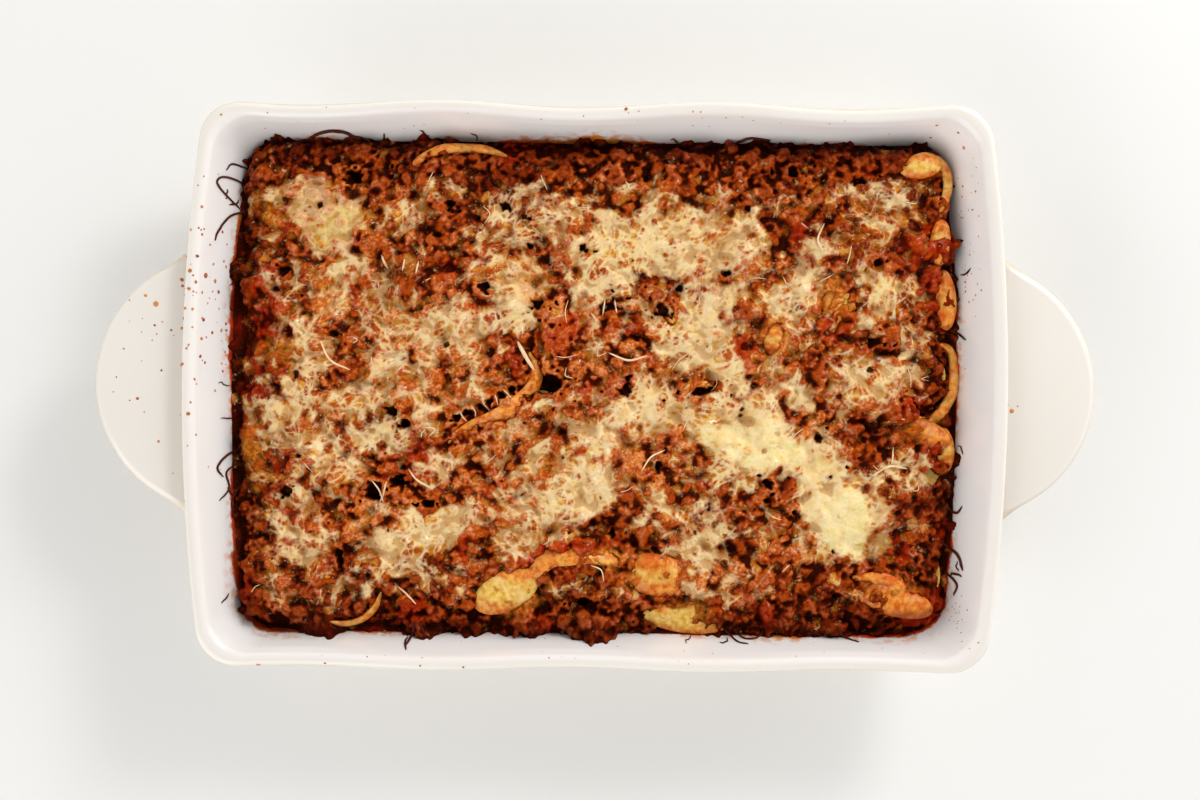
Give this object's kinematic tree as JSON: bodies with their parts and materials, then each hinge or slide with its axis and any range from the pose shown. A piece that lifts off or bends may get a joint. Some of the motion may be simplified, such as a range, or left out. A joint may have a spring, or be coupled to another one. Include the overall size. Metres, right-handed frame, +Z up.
{
  "type": "baking dish of stuffed pasta shells",
  "caption": "White glazed rectangular baking dish with two tab handles, filled with stuffed pasta shells baked under meat sauce and melted cheese.",
  "frame": {"origin": "middle of the dish's flat base, on the surface it stands on", "axes": "+X along the dish's length through both handles, +Y across its width, +Z up out of the dish"},
  "size_m": [0.423, 0.2388, 0.064],
  "materials": {
    "white_glaze": "smooth glossy off-white glaze, warm at the rim",
    "meat_sauce": "browned crumbled meat in red-brown tomato sauce, wet and oily in places",
    "baked_pasta": "baked pasta, orange-yellow with a dull sheen, sauce-stained at the lips",
    "melted_cheese": "melted pale cream cheese, slightly glossy, lightly browned"
  },
  "bodies": {
    "root": {"cheese_east": "melted_cheese", "cheese_north": "melted_cheese", "cheese_north_west": "melted_cheese", "cheese_south_east": "melted_cheese", "cheese_south_west": "melted_cheese", "cheese_west": "melted_cheese", "dish": "white_glaze", "meat_sauce": "meat_sauce", "shell_centre_left": "baked_pasta", "shell_centre_right": "baked_pasta", "shell_centre_top": "baked_pasta", "shell_east_lower": "baked_pasta", "shell_east_middle": "baked_pasta", "shell_east_upper": "baked_pasta", "shell_north": "baked_pasta", "shell_north_east": "baked_pasta", "shell_right": "baked_pasta", "shell_south_east": "baked_pasta", "shell_south_middle": "baked_pasta", "shell_south_right": "baked_pasta", "shell_south_west": "baked_pasta"}
  },
  "joints": []
}
